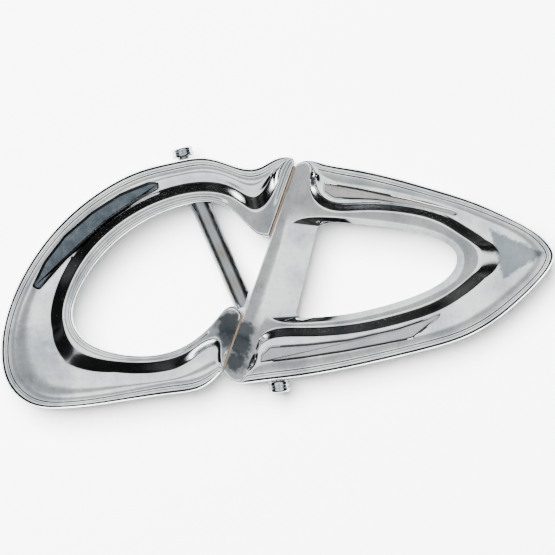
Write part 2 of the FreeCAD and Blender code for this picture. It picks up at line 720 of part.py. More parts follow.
# ---------------------------------------------------------------- checks and files
NODES = [
    "hook_front_shell", "hook_back_shell", "hook_dowels", "seam_shim_lower", "seam_shim_upper",
    "swivel_bolt", "bolt_washer", "bolt_key", "gate_bar", "gate_knob", "gate_pivot_pin",
    "gate_washers", "gate_spring", "eye_front_shell", "eye_back_shell", "eye_dowels",
    "swivel_bush", "lock_sleeve", "lock_pin", "lock_spring", "lock_knob",
]
document.recompute()
for item in document.Objects:
    if "Invalid" in item.State or "Error" in item.State:
        raise RuntimeError("%s failed: %s" % (item.Name, item.State))
os.makedirs("parts", exist_ok=True)
for label in NODES:
    piece = document.getObjectsByLabel(label)[0]
    shape = piece.Shape
    if shape.isNull() or not shape.isValid():
        raise RuntimeError("%s has no valid shape" % label)
    shape.exportStep("parts/%s.step" % label)
    print("%-18s %8.2f mm3, %d solids" % (label, shape.Volume, len(shape.Solids)))
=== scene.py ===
"""The looks of a chromed snap shackle: two plated castings on a slanted seam, a gate bar and two knobs."""
import math

import bmesh
import bpy
import numpy as np
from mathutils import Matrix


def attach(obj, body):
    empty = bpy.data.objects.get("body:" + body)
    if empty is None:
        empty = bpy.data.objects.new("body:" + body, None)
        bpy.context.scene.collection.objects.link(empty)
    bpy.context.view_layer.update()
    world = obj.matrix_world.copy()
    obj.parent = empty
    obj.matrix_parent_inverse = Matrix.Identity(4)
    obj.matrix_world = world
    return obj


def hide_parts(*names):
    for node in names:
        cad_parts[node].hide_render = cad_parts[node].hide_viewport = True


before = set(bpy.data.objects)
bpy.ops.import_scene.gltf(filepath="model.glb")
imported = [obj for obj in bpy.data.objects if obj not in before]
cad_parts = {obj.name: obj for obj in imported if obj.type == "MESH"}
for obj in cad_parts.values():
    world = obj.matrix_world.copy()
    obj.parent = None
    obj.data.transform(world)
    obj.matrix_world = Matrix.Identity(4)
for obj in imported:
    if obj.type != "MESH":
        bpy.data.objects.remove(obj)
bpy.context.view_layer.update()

# ---------------------------------------------------------------- hook half: front and back castings
# Two zinc die castings, polished and chrome plated, and held together on the mid-plane by dowels.
# Each has a thin rim, a hollowed web, a steep slope, and a flat ridge round the opening that widens
# into the bosses at the seam. Rooms inside take the gate bar's hub and tail and the swivel bolt.
MM = 0.001
MID_PLANE = 5.0          # mm, where the front and back castings meet
SEAM_FOOT = np.array((-10.76, -18.99))   # mm, the lower end of the seam between the halves
SEAM_LEAN = math.radians(19.33)          # from upright
SEAM_UP = np.array((math.sin(SEAM_LEAN), math.cos(SEAM_LEAN)))
SEAM_OUT = np.array((math.cos(SEAM_LEAN), -math.sin(SEAM_LEAN)))
SEAM_GAP = 0.4           # mm between the halves, taken up by the bronze shims
SAMPLE_STEP = 0.1        # mm between the samples of a line


def on_seam(along, across):
    """A point near the seam: mm up it from its foot, then mm towards the eye half."""
    return SEAM_FOOT + SEAM_UP * along + SEAM_OUT * across


def smooth_curve(points):
    """Close samples along a natural cubic spline through the points, and where the points lie."""
    points = np.array(points, float)
    knots = np.concatenate([[0.0], np.cumsum(np.linalg.norm(np.diff(points, axis=0), axis=1))])
    step = np.diff(knots)
    count = len(points)
    matrix = np.eye(count)
    right = np.zeros_like(points)
    for i in range(1, count - 1):
        matrix[i, i - 1:i + 2] = step[i - 1], 2 * (step[i - 1] + step[i]), step[i]
        right[i] = 6 * ((points[i + 1] - points[i]) / step[i] - (points[i] - points[i - 1]) / step[i - 1])
    bend = np.linalg.solve(matrix, right)
    at = np.linspace(0, knots[-1], int(knots[-1] / SAMPLE_STEP) + 1)
    k = np.clip(np.searchsorted(knots, at, side="right") - 1, 0, count - 2)
    a = ((knots[k + 1] - at) / step[k])[:, None]
    b = ((at - knots[k]) / step[k])[:, None]
    cube = (step[k] ** 2 / 6)[:, None]
    samples = a * points[k] + b * points[k + 1]
    samples += ((a ** 3 - a) * bend[k] + (b ** 3 - b) * bend[k + 1]) * cube
    return samples


def joined(*pieces):
    """One polyline from several, with repeated joints dropped."""
    line = [np.atleast_2d(pieces[0])]
    for piece in pieces[1:]:
        piece = np.atleast_2d(piece)
        same = np.linalg.norm(piece[0] - line[-1][-1]) < 1e-6
        line.append(piece[1:] if same else piece)
    return np.vstack(line)


def straight(start, end):
    """Close samples along a straight line."""
    return np.linspace(start, end, int(np.linalg.norm(np.array(end) - start) / SAMPLE_STEP) + 2)


def lengths(line):
    """Distance along a polyline at each of its points."""
    return np.concatenate([[0.0], np.cumsum(np.linalg.norm(np.diff(line, axis=0), axis=1))])


def stops_on(line, ties):
    """Distances along a polyline of the places nearest to each tie, in order."""
    length = lengths(line)
    stops = [0.0]
    for tie in ties[1:-1]:
        near = np.linalg.norm(line - np.array(tie, float), axis=1)
        near[length < stops[-1]] = 1e9
        stops.append(length[int(np.argmin(near))])
    return stops + [length[-1]]


def along(line, at):
    """The points at these distances along a polyline."""
    length = lengths(line)
    return np.stack([np.interp(at, length, line[:, 0]), np.interp(at, length, line[:, 1])], axis=1)


def matched(line, ties, count_per_tie):
    """Samples of a polyline, evenly spaced between ties, so that lines with the same counts pair up."""
    stops = stops_on(line, ties)
    at = [np.linspace(a, b, n, endpoint=False) for a, b, n in zip(stops[:-1], stops[1:], count_per_tie)]
    return along(line, np.concatenate(at + [stops[-1:]]))


# The hook's outline, the crest of its slope, and its inner edge: the seam's two bosses and the bow.
HOOK_TOP = on_seam(43.9, -SEAM_GAP)
HOOK_FOOT = on_seam(0.45, -SEAM_GAP)
hook_outer_line = smooth_curve([
    HOOK_TOP, (3.15, 23.6), (1.6, 24.05), (-1.1, 23.45), (-3.9, 22.0), (-6.4, 21.8), (-9.6, 22.7),
    (-14.5, 23.95), (-20.5, 23.2), (-27.5, 21.4), (-36.5, 16.6), (-44.6, 9.4), (-50.7, 0.7),
    (-54.3, -8.2), (-55.15, -15.5), (-53.6, -21.6), (-49.2, -25.4), (-43.0, -26.1),
    (-29.6, -24.45), (-20.4, -23.15), (-15.6, -22.2), (-12.6, -20.25), HOOK_FOOT,
])
hook_crest_line = smooth_curve([
    on_seam(43.6, -SEAM_GAP), (2.5, 23.75), (1.3, 22.4), (0.1, 19.1), (-1.4, 15.8), (-2.7, 14.1),
    (-4.3, 13.3),
    (-6.2, 14.1), (-9.0, 15.9), (-12.6, 16.9), (-18.4, 16.6), (-25.8, 14.1), (-32.8, 9.6),
    (-38.4, 3.6), (-41.6, -2.6), (-42.6, -7.8), (-40.9, -12.4), (-35.0, -15.9), (-28.4, -16.8),
    (-21.8, -16.2), (-16.6, -14.0), (-13.4, -12.2), (-12.0, -12.3), (-11.4, -13.6), (-11.3, -15.6),
    (-11.0, -17.6), on_seam(0.75, -SEAM_GAP),
])
hook_bow_line = smooth_curve([
    on_seam(28.65, -SEAM_GAP), (-3.8, 8.5), (-5.2, 9.57), (-8.9, 13.2), (-12.96, 14.95), (-18.6, 14.45),
    (-25.2, 11.95), (-31.6, 7.7), (-36.9, 2.0), (-40.2, -4.0), (-40.9, -7.8), (-39.2, -11.7),
    (-34.0, -14.6), (-28.5, -15.55), (-23.0, -15.2), (-18.0, -13.3), (-14.2, -10.4), (-11.5, -7.4),
    (-10.0, -5.95), (-8.6, -5.8), on_seam(12.2, -SEAM_GAP),
])
hook_inner_line = joined(
    straight(on_seam(43.2, -SEAM_GAP), hook_bow_line[0]), hook_bow_line,
    straight(hook_bow_line[-1], on_seam(1.15, -SEAM_GAP)))
HOOK_COUNTS = [20, 36, 34, 26, 44, 46, 40, 40, 34, 44, 34, 34, 30, 26, 26, 30]
hook_outer = matched(hook_outer_line, [
    HOOK_TOP, (2.9, 23.8), (-1.1, 23.45), (-3.9, 22.0), (-7.4, 22.0), (-14.5, 23.95), (-27.5, 21.4),
    (-36.5, 16.6), (-44.6, 9.4), (-51.8, -1.6), (-55.15, -15.5), (-49.2, -25.4), (-36.0, -25.2),
    (-20.4, -23.15), (-15.6, -22.2), (-13.2, -20.7), HOOK_FOOT], HOOK_COUNTS)
hook_crest = matched(hook_crest_line, [
    HOOK_TOP, (2.5, 23.75), (-0.5, 17.6), (-3.2, 13.6), (-6.2, 14.1), (-12.6, 16.9), (-23.4, 15.1),
    (-30.4, 11.4), (-36.4, 6.2), (-41.0, -1.2), (-42.5, -9.4), (-39.6, -14.2), (-31.4, -17.4),
    (-20.4, -16.4), (-14.6, -13.1), (-12.0, -12.3), HOOK_FOOT], HOOK_COUNTS)
hook_inner = matched(hook_inner_line, [
    HOOK_TOP, (3.2, 21.9), (0.9, 15.3), (-1.5, 8.4), (-4.6, 9.1), (-11.4, 14.6), (-21.4, 13.6),
    (-28.8, 9.8), (-34.8, 4.6), (-39.5, -2.2), (-40.8, -9.0), (-38.0, -12.7), (-30.8, -15.3),
    (-20.4, -14.3), (-14.2, -10.4), (-9.4, -5.8), HOOK_FOOT], HOOK_COUNTS)

RIDGE_HALF = 5.0         # mm, mid-plane to the ridges
RIM_HALF = 3.1           # mm, mid-plane to the rim's top
# Rim profile: mm in from the edge, and mm below the rim's top.
RIM = [(0.0, 0.62), (0.05, 0.51), (0.30, 0.28), (0.52, 0.12), (0.72, 0.03), (0.9, 0.0), (1.4, 0.0),
       (1.47, 0.02), (1.56, 0.09), (1.68, 0.17), (1.8, 0.2), (2.0, 0.2), (2.4, 0.17)]
# The ridge's round inner edge: mm back from the edge, and mm below the ridge.
EDGE = [(0.55, 0.0), (0.32, 0.04), (0.15, 0.14), (0.05, 0.30), (0.0, 0.55)]
WEB_COLUMNS = 12
SLOPE_COLUMNS = 12
RIDGE_COLUMNS = 16
WEB_LEAST = 0.3          # mm of web between the rim and the slope, or all three are made narrower
HOLLOW_FROM = 4          # mm, a web this wide has its whole hollow
SLOPE_ROUND = 0.1        # of the slope, the rounds at its foot and its top
CREST_DROP = 0.05        # mm, the slope's top below the ridge
CREST_ROUND = 0.18       # mm, from the crest to the flat of the ridge
RIDGE_LEAST = 1.2        # mm, a narrower ridge has narrower rounds, and no groove
GROOVE_DROP = 0.11       # mm, depth of a faint groove along the ridge
GROOVE_PLACE = 0.55      # of the ridge's width
GROOVE_SPREAD = 0.09     # of the ridge's width
GROOVE_MOST = 3.6        # mm, a ridge this wide has no groove
GROOVE_FADE = 0.8        # mm narrower than that, and the groove is whole
PARTING_BEVEL = 0.14     # mm, a bevel at the outer wall's foot, which makes the parting line


def ease(t):
    """Smooth step from 0 to 1."""
    t = np.clip(t, 0.0, 1.0)
    return t * t * (3 - 2 * t)


def slope_shape(t):
    """A steep straight slope with a short round at its foot and at its top."""
    t = np.clip(t, 0.0, 1.0)
    straight_part = np.clip((t - SLOPE_ROUND / 2) / (1 - SLOPE_ROUND), 0, 1)
    return SLOPE_ROUND * ease(t) + (1 - SLOPE_ROUND) * straight_part


def band_rows(outer, crest, inner, web_half, web_dip, slope_width):
    """Rows of points from the outer edge over the web and slope to the crest, and on to the inner edge."""
    low = RIM_HALF - RIM[-1][1]
    rows = []
    for o, c, n, slope in zip(outer, crest, inner, slope_width):
        reach = np.linalg.norm(c - o)
        out_dir = (c - o) / max(reach, 1e-9)
        k = min(1.0, reach / (RIM[-1][0] + slope + WEB_LEAST))
        row = []
        for far, drop in RIM:
            row.append((*(o + out_dir * far * k), RIM_HALF - drop * k))
        first = RIM[-1][0] * k
        last = reach - slope * k
        for j in range(1, WEB_COLUMNS + 1):
            t = j / WEB_COLUMNS
            dip = web_dip * math.sin(math.pi * t) * ease((last - first) / HOLLOW_FROM)
            z = low + (web_half - low) * ease(t) * k - dip
            row.append((*(o + out_dir * (first + (last - first) * t)), z if k == 1 else max(z, low)))
        base = row[-1][2]
        for j in range(1, SLOPE_COLUMNS + 1):
            t = j / SLOPE_COLUMNS
            z = base + (RIDGE_HALF - CREST_DROP - base) * slope_shape(t)
            row.append((*(o + out_dir * (last + slope * k * t)), z))
        width = np.linalg.norm(n - c)
        in_dir = (n - c) / max(width, 1e-9)
        scale = min(1.0, width / RIDGE_LEAST)
        row.append((*(c + in_dir * CREST_ROUND * scale), RIDGE_HALF))
        edge_from = width - EDGE[0][0] * scale
        for j in range(1, RIDGE_COLUMNS + 1):
            t = j / RIDGE_COLUMNS
            groove = GROOVE_DROP * math.exp(-((t - GROOVE_PLACE) / GROOVE_SPREAD) ** 2)
            groove = groove * ease((GROOVE_MOST - width) / GROOVE_FADE) * ease(width - RIDGE_LEAST)
            far = CREST_ROUND * scale + (edge_from - CREST_ROUND * scale) * t
            row.append((*(c + in_dir * far), RIDGE_HALF - groove))
        for far, drop in EDGE[1:]:
            row.append((*(c + in_dir * (width - far * scale)), RIDGE_HALF - drop * scale))
        rows.append(row)
    return np.array(rows)


def on_mid_plane(column):
    """One column of points, dropped to the mid-plane."""
    foot = column.copy()
    foot[..., 2] = 0.0
    return foot


def with_lip(rows):
    """The rows with their outer wall, which stands on the parting line's bevel."""
    lip = rows[:, :1].copy()
    lip[..., 2] = PARTING_BEVEL
    return np.concatenate([on_mid_plane(rows[:, 1:2]), lip, rows], axis=1)


HOOK_WEB_HALF = 3.3      # mm, mid-plane to the web at the slope's foot
HOOK_WEB_DIP = 0.25      # mm, how far the web is hollowed
# Width of the slope in mm at each pair of matched points, from the seam's top round to its foot.
HOOK_SLOPES = [0.5, 1.5, 3.4, 3.2, 2.6, 2.3, 2.2, 2.3, 2.6, 2.9, 3.0, 4.9, 2.7, 2.5, 2.0, 1.5, 0.4]
hook_rows = band_rows(hook_outer, hook_crest, hook_inner, HOOK_WEB_HALF, HOOK_WEB_DIP,
                      np.interp(np.arange(len(hook_outer)), np.cumsum([0] + HOOK_COUNTS), HOOK_SLOPES))
hook_rows = np.concatenate([with_lip(hook_rows), on_mid_plane(hook_rows[:, -1:])], axis=1)

SHARP = math.radians(38)  # corners sharper than this stay crisp
FACETS = 64              # round a turned solid
WELD = 1e-6              # m, corners this close become one
SLIVER = 1e-7            # m, edges this short are taken out


def finished(mesh, name):
    """A smooth-shaded object with sharp corners from a closed bmesh."""
    bmesh.ops.recalc_face_normals(mesh, faces=mesh.faces)
    data = bpy.data.meshes.new(name)
    mesh.to_mesh(data)
    mesh.free()
    piece = bpy.data.objects.new(name, data)
    bpy.context.scene.collection.objects.link(piece)
    for polygon in data.polygons:
        polygon.use_smooth = True
    data.set_sharp_from_angle(angle=SHARP)
    return piece


def casting(name, side, grids, undersides, ends):
    """A closed casting from grids of (x, y, height) rows, pairs of loops on the mid-plane, and end faces."""
    mesh = bmesh.new()
    for rows, closed in grids:
        count, columns = rows.shape[:2]
        top = [[mesh.verts.new((p[0] * MM, p[1] * MM, (MID_PLANE + side * p[2]) * MM)) for p in row]
               for row in rows]
        spans = range(count if closed else count - 1)
        for i in spans:
            a, b = top[i], top[(i + 1) % count]
            for j in range(columns - 1):
                quad = (a[j], b[j], b[j + 1], a[j + 1])
                if len({v.co.copy().freeze() for v in quad}) > 2:
                    mesh.faces.new(quad)
    for loop_a, loop_b, closed in undersides:
        low_a = [mesh.verts.new((p[0] * MM, p[1] * MM, MID_PLANE * MM)) for p in loop_a]
        low_b = [mesh.verts.new((p[0] * MM, p[1] * MM, MID_PLANE * MM)) for p in loop_b]
        count = len(low_a)
        for i in range(count if closed else count - 1):
            j = (i + 1) % count
            mesh.faces.new((low_a[i], low_b[i], low_b[j], low_a[j]))
    for row in ends:
        mesh.faces.new([mesh.verts.new((p[0] * MM, p[1] * MM, (MID_PLANE + side * p[2]) * MM)) for p in row])
    bmesh.ops.remove_doubles(mesh, verts=mesh.verts, dist=WELD)
    bmesh.ops.dissolve_degenerate(mesh, edges=mesh.edges, dist=SLIVER)
    loose = [v for v in mesh.verts if not v.link_faces]
    bmesh.ops.delete(mesh, geom=loose, context="VERTS")
    return finished(mesh, name)


def prism(name, outline, half):
    """A closed upright prism on an outline, across the mid-plane."""
    mesh = bmesh.new()
    low = [mesh.verts.new((x * MM, y * MM, (MID_PLANE - half) * MM)) for x, y in outline]
    high = [mesh.verts.new((x * MM, y * MM, (MID_PLANE + half) * MM)) for x, y in outline]
    mesh.faces.new(low)
    mesh.faces.new(high)
    for i in range(len(low)):
        j = (i + 1) % len(low)
        mesh.faces.new((low[i], low[j], high[j], high[i]))
    return finished(mesh, name)


def lathe(name, foot, direction, profile):
    """A turned solid along a line in the mid-plane, from (distance, radius) pairs."""
    mesh = bmesh.new()
    side = np.array((-direction[1], direction[0]))
    rings = []
    for far, radius in profile:
        centre = np.array(foot) + np.array(direction) * far
        ring = []
        for i in range(FACETS):
            angle = 2 * math.pi * (i + 0.5) / FACETS
            x, y = centre + side * radius * math.cos(angle)
            ring.append(mesh.verts.new((x * MM, y * MM, (MID_PLANE + radius * math.sin(angle)) * MM)))
        rings.append(ring)
    for a, b in zip(rings[:-1], rings[1:]):
        for i in range(FACETS):
            j = (i + 1) % FACETS
            mesh.faces.new((a[i], a[j], b[j], b[i]))
    mesh.faces.new(rings[0])
    mesh.faces.new(rings[-1])
    return finished(mesh, name)


def cut_away(piece, cutters):
    """Take the cutters out of a piece, and keep the result as its mesh."""
    for cutter in cutters:
        modifier = piece.modifiers.new("cut", "BOOLEAN")
        modifier.operation = "DIFFERENCE"
        modifier.solver = "MANIFOLD"
        modifier.object = cutter
    graph = bpy.context.evaluated_depsgraph_get()
    result = bpy.data.meshes.new_from_object(piece.evaluated_get(graph))
    piece.modifiers.clear()
    piece.data = result
    result.set_sharp_from_angle(angle=SHARP)


def drop(cutters):
    """Remove the cutters once they have done their work."""
    for cutter in cutters:
        bpy.data.objects.remove(cutter)


def turned(degrees):
    """The direction at this angle above +X."""
    return np.array((math.cos(math.radians(degrees)), math.sin(math.radians(degrees))))


def sector(pivot, first, last, inner, outer, half_width):
    """Outline swept by a straight bar of this half width between two directions, in degrees."""
    a, b = turned(first), turned(last)
    side_a, side_b = turned(first + 90) * half_width, turned(last - 90) * half_width
    arc = [pivot + turned(t) * outer for t in np.linspace(first, last, 9)]
    return [pivot + a * inner + side_a, pivot + a * outer + side_a, *arc,
            pivot + b * outer + side_b, pivot + b * inner + side_b]


GATE_PIVOT = np.array((-17.5, 19.35))
GATE_LEAN = -66.46       # degrees, the shut gate bar
GATE_SWING = 17.0        # degrees, inwards
TAIL_ANGLE = 104.5       # degrees, the shut gate's tail
BOLT_FOOT = SEAM_FOOT + SEAM_UP * 7.57
HUB_ROOM = 3.4           # mm, radius
HUB_ROOM_HALF = 2.15     # mm, half its depth
SLOTS_START = 0.5        # mm from the pivot
GATE_SLOT_END = 9.0
GATE_SLOT_SIDE = 2.2     # mm, half the slot's width
GATE_SLOT_HALF = 2.151   # a hair off the hub's room, so that no two faces lie on each other
TAIL_WINDOW_END = 7.0
TAIL_WINDOW_SIDE = 1.35
TAIL_WINDOW_HALF = 1.4
LOBE_SLOT = (21.85, 27.85)   # mm from the pivot
LOBE_SLOT_SWEEP = (9, -17)   # degrees either side of the shut bar
LOBE_SLOT_HALF = 2.149
BOLT_HEAD_ROOM = 2.85    # mm, radius
BOLT_NECK_ROOM = 2.05    # mm, radius
hub = [GATE_PIVOT + turned(t) * HUB_ROOM for t in np.arange(0, 360, 7.5)]
lobe = [GATE_PIVOT + turned(GATE_LEAN + t) * LOBE_SLOT[1] for t in np.linspace(*LOBE_SLOT_SWEEP, 14)]
lobe += [GATE_PIVOT + turned(GATE_LEAN + t) * LOBE_SLOT[0] for t in reversed(LOBE_SLOT_SWEEP)]
hook_cutters = [
    prism("hub_room", hub, HUB_ROOM_HALF),
    prism("gate_slot", sector(GATE_PIVOT, GATE_LEAN, GATE_LEAN - GATE_SWING, SLOTS_START, GATE_SLOT_END,
                              GATE_SLOT_SIDE), GATE_SLOT_HALF),
    prism("tail_window", sector(GATE_PIVOT, TAIL_ANGLE, TAIL_ANGLE - GATE_SWING, SLOTS_START,
                                TAIL_WINDOW_END, TAIL_WINDOW_SIDE), TAIL_WINDOW_HALF),
    prism("lobe_slot", lobe, LOBE_SLOT_HALF),
    lathe("bolt_room", BOLT_FOOT, SEAM_OUT, [
        (-3.4, BOLT_HEAD_ROOM), (-1.5, BOLT_HEAD_ROOM), (-1.49, BOLT_NECK_ROOM), (1.0, BOLT_NECK_ROOM)]),
]


def linear(code):
    """Linear colour from an sRGB hex code."""
    values = [int(code[i:i + 2], 16) / 255 for i in (1, 3, 5)]
    return (*[v / 12.92 if v <= 0.04045 else ((v + 0.055) / 1.055) ** 2.4 for v in values], 1.0)


def node(tree, kind, settings=None, **links):
    """Add a shader node: its settings, a ramp's stops, and its inputs (sockets or plain values)."""
    made = tree.nodes.new(kind)
    for key, value in (settings or {}).items():
        if key != "stops":
            setattr(made, key, value)
            continue
        elements = made.color_ramp.elements
        while len(elements) < len(value):
            elements.new(0.5)
        for element, (position, colour) in zip(elements, value):
            element.position = position
            element.color = colour
    for key, value in links.items():
        socket = made.inputs[int(key[3:]) if key.startswith("in_") else key.replace("_", " ")]
        if isinstance(value, bpy.types.NodeSocket):
            tree.links.new(value, socket)
        else:
            socket.default_value = value
    return made


# Sizes in mm of what marks a worked metal, and of the noise that rags the edges of the painted reflections.
# Polishing grain is finer than this, and is drawn coarse enough to show.
GRAIN = 0.35
SPECK = 0.9
REFLECTION_EDGE_SIZE = 1.1
RIPPLE = 0.05            # mm, height of the grain
PATCH_EDGES = (0.38, 0.68)   # noise values between which the clean tone turns into the worn one
SPECK_EDGES = (0.5, 0.75)    # noise values between which a speck comes up
SPECK_DEPTH = 0.35
SPECK_COLOUR = "#7C868C"
ROUGHNESS_SPREAD = (0.75, 1.35)   # of a metal's roughness, least and most over the grain
REFLECTION_EDGES = (0.65, 0.1)    # of a round painted reflection's radius, where it starts and where it is full
# Roughness added where a round painted reflection lies.
REFLECTION_ROUGHNESS = 0.06
REFLECTION_ZONE_RAGGED = 1.6       # mm
REFLECTION_ZONE_EDGES = (-0.5, -1.1)   # mm inside a reflection zone's sides, where its painted reflection starts and where it is full


def metal(name, clean, worn, patch_mm, roughness, bump=0.02, painted_reflections=(), reflection_zones=()):
    """A metal in two cloudy tones with grain in its gloss and, where given, painted reflections in round
    patches and in polygonal zones.

    A round painted reflection is (x, y, radius, depth, raggedness, colour) and a reflection zone is
    (corners, depth, colour), in mm.
    """
    material = bpy.data.materials.new(name)
    material.use_nodes = True
    tree = material.node_tree
    shader = tree.nodes["Principled BSDF"]
    shader.inputs["Metallic"].default_value = 1.0
    place = node(tree, "ShaderNodeTexCoord").outputs["Object"]
    patches = node(tree, "ShaderNodeTexNoise", Vector=place, Scale=1000 / patch_mm, Detail=3.0)
    tones = [(PATCH_EDGES[0], linear(clean)), (PATCH_EDGES[1], linear(worn))]
    colour = node(tree, "ShaderNodeValToRGB", {"stops": tones}, in_0=patches.outputs["Fac"]).outputs["Color"]
    specks = node(tree, "ShaderNodeTexNoise", Vector=place, Scale=1000 / SPECK, Detail=5.0, Roughness=0.65)
    speck_mask = node(tree, "ShaderNodeMapRange", Value=specks.outputs["Fac"], From_Min=SPECK_EDGES[0],
                      From_Max=SPECK_EDGES[1], To_Max=SPECK_DEPTH).outputs["Result"]
    colour = node(tree, "ShaderNodeMix", {"data_type": "RGBA"}, in_0=speck_mask, in_6=colour,
                  in_7=linear(SPECK_COLOUR)).outputs[2]
    grain = node(tree, "ShaderNodeTexNoise", Vector=place, Scale=1000 / GRAIN, Detail=2.0)
    rough = node(tree, "ShaderNodeMapRange", Value=grain.outputs["Fac"],
                 To_Min=roughness * ROUGHNESS_SPREAD[0],
                 To_Max=roughness * ROUGHNESS_SPREAD[1]).outputs["Result"]
    # Round painted reflections: a darker or tinted colour mixed in over ragged discs, with a little more
    # roughness.
    for x, y, radius, depth, ragged, reflection_colour in painted_reflections:
        away = node(tree, "ShaderNodeVectorMath", {"operation": "MULTIPLY_ADD"}, in_0=place,
                    in_1=(1000 / radius, 1000 / radius, 0.0), in_2=(-x / radius, -y / radius, 0.0))
        reach = node(tree, "ShaderNodeVectorMath", {"operation": "LENGTH"}, in_0=away.outputs[0])
        reflection_edge_noise = node(tree, "ShaderNodeTexNoise", Vector=place, Scale=1000 / REFLECTION_EDGE_SIZE, Detail=4.0)
        edge = node(tree, "ShaderNodeMath", {"operation": "MULTIPLY_ADD"}, in_0=reflection_edge_noise.outputs["Fac"],
                    in_1=-ragged, in_2=reach.outputs["Value"])
        mask = node(tree, "ShaderNodeMapRange", Value=edge.outputs[0], From_Min=REFLECTION_EDGES[0],
                    From_Max=REFLECTION_EDGES[1], To_Max=depth).outputs[0]
        colour = node(tree, "ShaderNodeMix", {"data_type": "RGBA"}, in_0=mask, in_6=colour,
                      in_7=linear(reflection_colour)).outputs[2]
        rough = node(tree, "ShaderNodeMath", {"operation": "MULTIPLY_ADD"}, in_0=mask,
                     in_1=REFLECTION_ROUGHNESS, in_2=rough).outputs[0]
    # Polygonal painted reflections: a tinted colour mixed in over ragged zones.
    for corners, depth, zone_reflection_colour in reflection_zones:
        outside = None
        centre = np.mean(corners, axis=0)
        for a, b in zip(np.array(corners), np.roll(corners, -1, axis=0)):
            out = np.array((b[1] - a[1], a[0] - b[0])) / np.linalg.norm(b - a)
            out = out if out @ (a - centre) > 0 else -out
            far = node(tree, "ShaderNodeVectorMath", {"operation": "DOT_PRODUCT"}, in_0=place,
                       in_1=(out[0] * 1000, out[1] * 1000, 0.0))
            past = node(tree, "ShaderNodeMath", {"operation": "SUBTRACT"}, in_0=far.outputs["Value"],
                        in_1=float(out @ a)).outputs[0]
            outside = past if outside is None else node(
                tree, "ShaderNodeMath", {"operation": "MAXIMUM"}, in_0=outside, in_1=past).outputs[0]
        ragged_edge = node(tree, "ShaderNodeMath", {"operation": "MULTIPLY_ADD"},
                           in_0=specks.outputs["Fac"], in_1=-REFLECTION_ZONE_RAGGED, in_2=outside).outputs[0]
        mask = node(tree, "ShaderNodeMapRange", Value=ragged_edge, From_Min=REFLECTION_ZONE_EDGES[0],
                    From_Max=REFLECTION_ZONE_EDGES[1], To_Max=depth).outputs[0]
        colour = node(tree, "ShaderNodeMix", {"data_type": "RGBA"}, in_0=mask, in_6=colour,
                      in_7=linear(zone_reflection_colour)).outputs[2]
    ripple = node(tree, "ShaderNodeBump", Strength=bump, Distance=RIPPLE * MM, Height=grain.outputs["Fac"])
    tree.links.new(colour, shader.inputs["Base Color"])
    tree.links.new(rough, shader.inputs["Roughness"])
    tree.links.new(ripple.outputs["Normal"], shader.inputs["Normal"])
    return material


# Polished chrome plate: a near mirror that shows the room as white and black bands. Dark painted reflections
# lie on the lower boss and blue-grey painted reflections on the bow's lower bend, each a little rougher than
# the rest.
plated_hook = metal("polished chrome on the hook casting", "#E6E9EA", "#B4BBBF", 7.0, 0.08,
                    bump=0.04,
                    painted_reflections=[(-9.6, -9.3, 2.6, 0.9, 1.3, "#343C42"), (-9.9, -12.0, 2.0, 0.8, 1.3, "#343C42"),
                            (-50.5, -15.5, 6.0, 0.4, 1.2, "#5F6C74"),
                            (-46.0, -20.0, 6.0, 0.3, 1.2, "#5F6C74")])
for name, side in (("hook_front_shell", 1), ("hook_back_shell", -1)):
    shell = casting(name + "_looks", side, [(hook_rows, False)], [(hook_rows[:, 0, :2], hook_inner, False)],
                    [hook_rows[0], hook_rows[-1]])
    cut_away(shell, hook_cutters)
    shell.data.materials.clear()
    shell.data.materials.append(plated_hook)
    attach(shell, "hook")
    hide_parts(name)
drop(hook_cutters)

# ---------------------------------------------------------------- eye half: front and back castings
# Two more zinc die castings, plated and doweled in the same way, round a long closed eye with a
# bevelled edge. The swivel bolt's bush sits in a bore from the seam, and the sprung plunger in a
# bore from the lower edge.


def loop_from(line, start):
    """The closed loop of a polyline, cut open at the sample nearest to a point."""
    line = joined(line, straight(line[-1], line[0]))[:-1]
    first = int(np.argmin(np.linalg.norm(line - np.array(start, float), axis=1)))
    line = np.roll(line, -first, axis=0)
    return np.vstack([line, line[:1]])


def partners(samples, ties, line, line_ties):
    """For each sample of one line, its partner on another line, with the ties of both paired."""
    return along(line, np.interp(lengths(samples), stops_on(samples, ties), stops_on(line, line_ties)))


# The eye half's outline, its crest, and the closed ring between the crest, the seam and the hole.
EYE_TOP = on_seam(44.1, 0)
EYE_FOOT = on_seam(0.1, 0)
eye_outer_line = smooth_curve([
    EYE_TOP, (5.0, 23.15), (6.4, 23.3), (9.2, 22.8), (15.4, 21.7), (32.0, 17.5), (39.0, 15.25),
    (46.4, 12.0), (51.7, 9.0), (54.4, 6.3), (55.15, 4.5), (54.7, 2.7), (52.3, -0.65), (47.9, -5.0),
    (42.6, -9.2), (36.4, -12.4), (30.0, -14.35), (19.5, -16.9), (2.9, -20.0), (-4.9, -20.95),
    (-7.6, -21.1), (-9.6, -20.3), EYE_FOOT,
])
eye_crest_line = smooth_curve([
    on_seam(43.8, 0), (4.9, 22.9), (6.0, 22.8), (6.55, 21.6), (6.4, 18.6), (6.9, 16.3), (7.9, 14.8),
    (10.5, 13.4),
    (15.0, 13.2), (19.5, 13.3), (24.5, 12.9), (32.0, 11.0), (37.0, 8.0), (39.9, 5.2), (40.0, 2.6),
    (38.0, 0.0), (32.0, -4.3), (24.5, -7.1), (15.0, -9.2), (5.0, -9.9), (0.8, -10.0), (-1.2, -10.4),
    (-3.3, -11.8), (-4.5, -14.5), (-5.7, -17.2), (-6.7, -19.7), (-7.9, -20.6), (-9.5, -19.95),
    on_seam(0.4, 0),
])
